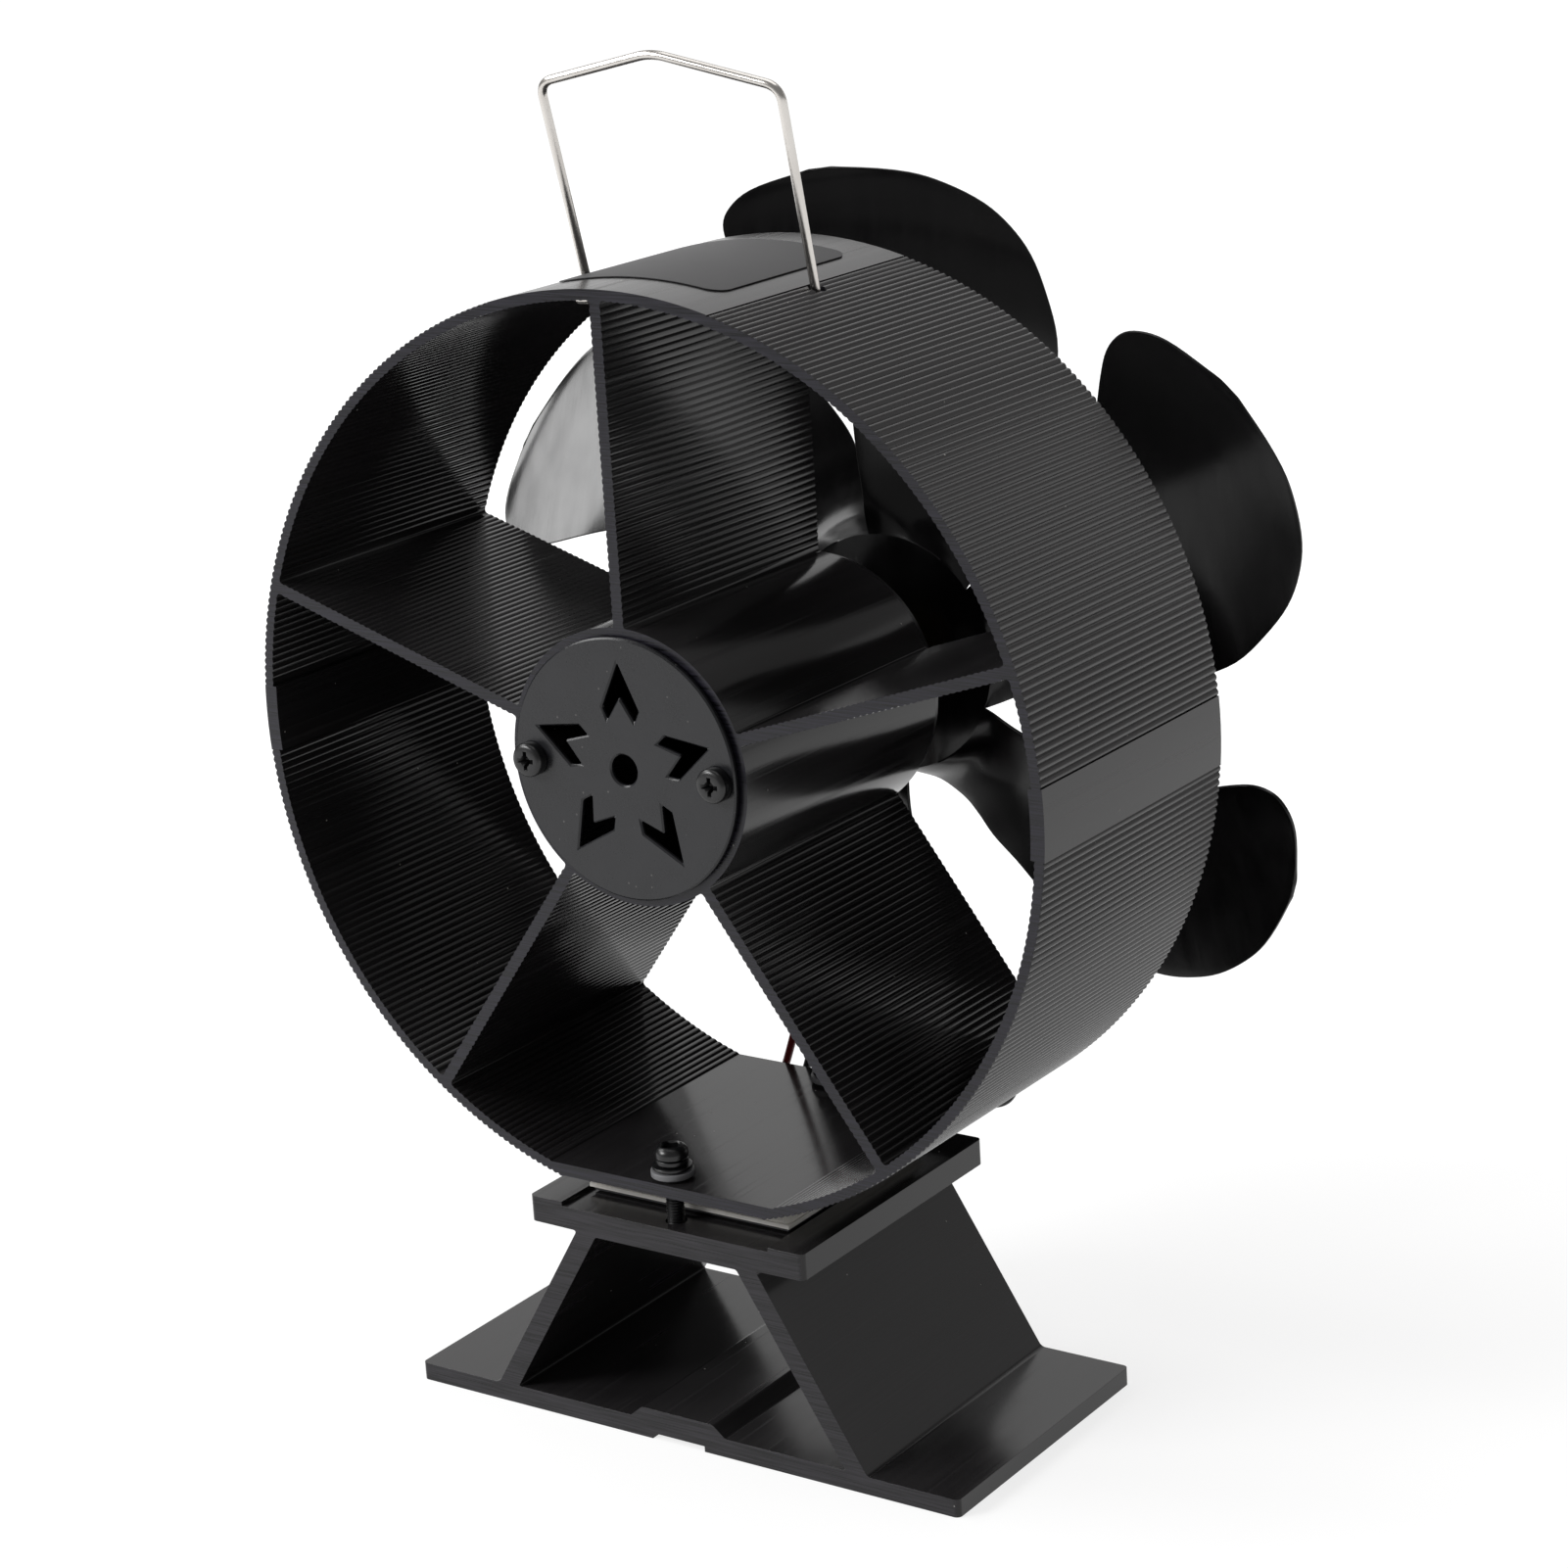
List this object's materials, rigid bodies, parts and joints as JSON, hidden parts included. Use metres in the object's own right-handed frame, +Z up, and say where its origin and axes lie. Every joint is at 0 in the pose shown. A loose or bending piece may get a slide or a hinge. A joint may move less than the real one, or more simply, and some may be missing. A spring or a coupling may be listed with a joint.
{
  "type": "stove fan",
  "caption": "Black heat-powered stove fan: finned ring radiator with spokes on a trapezoid base, star-cut hub cover, pitched-blade rotor behind and a wire carry handle on top.",
  "frame": {"origin": "on the stove top, under the middle of the whole fan's width and depth", "axes": "+Z up, -Y towards the star cover (front), +X to the right seen from the front; the rotor turns about +Y"},
  "size_m": [0.1572, 0.0902, 0.2245],
  "materials": {
    "black_anodised": "black anodised extrusion",
    "black_paint": "semi-gloss black coat on sheet",
    "black_cover": "satin black",
    "black_steel": "black oxide",
    "stainless_wire": "bright drawn wire",
    "bright_steel": "plated",
    "alumina": "matte fired ceramic",
    "pellets": "dull metal pellets",
    "graphite_pad": "soft matte sheet",
    "grey_bush": "matte",
    "brass": "turned",
    "copper": "enamelled winding",
    "bronze": "sintered, oiled",
    "ferrite": "matte",
    "white_plastic": "moulded",
    "label_grey": "satin foil",
    "red_sleeve": "smooth silicone",
    "black_sleeve": "smooth silicone",
    "bimetal": "rolled strip"
  },
  "bodies": {
    "stand": {"base": "black_anodised", "bimetal_strip": "bimetal", "bimetal_rivet": "bright_steel", "lower_thermal_pad": "graphite_pad", "module_hot_ceramic": "alumina", "module_core": "pellets", "module_cold_ceramic": "alumina", "upper_thermal_pad": "graphite_pad", "radiator": "black_anodised", "clamp_screw_front": "black_steel", "clamp_screw_rear": "black_steel", "clamp_washer_front": "black_steel", "clamp_washer_rear": "black_steel", "spring_washer_front": "black_steel", "spring_washer_rear": "black_steel", "insulating_bush_front": "grey_bush", "insulating_bush_rear": "grey_bush", "star_cover": "black_cover", "cover_screw_left": "black_steel", "cover_screw_right": "black_steel", "motor_plate": "black_steel", "plate_screw_left": "black_steel", "plate_screw_right": "black_steel", "motor_screw_left": "bright_steel", "motor_screw_right": "bright_steel", "motor_can": "bright_steel", "motor_end_cap": "white_plastic", "motor_terminal_left": "copper", "motor_terminal_right": "copper", "motor_magnet_top": "ferrite", "motor_magnet_bottom": "ferrite", "motor_bearing_front": "bronze", "motor_bearing_rear": "bronze", "label_plate": "label_grey", "red_lead": "red_sleeve", "black_lead": "black_sleeve"},
    "rotor": {"motor_armature": "copper", "motor_commutator": "brass", "motor_shaft": "bright_steel", "fan_boss": "brass", "fan_grub_screw": "black_steel", "fan_blades": "black_paint", "fan_clamp_ring": "bright_steel"},
    "handle": {"carry_handle": "stainless_wire"}
  },
  "joints": [
    {"name": "fan_spin", "type": "hinge", "parent": "stand", "child": "rotor", "pos_m": [0, -0.01465, 0.1162], "axis": [0, 1, 0], "continuous": true},
    {"name": "handle_swing", "type": "hinge", "parent": "stand", "child": "handle", "pos_m": [0, -0.01465, 0.18699], "axis": [1, 0, 0], "range_deg": [-38, 12]}
  ]
}
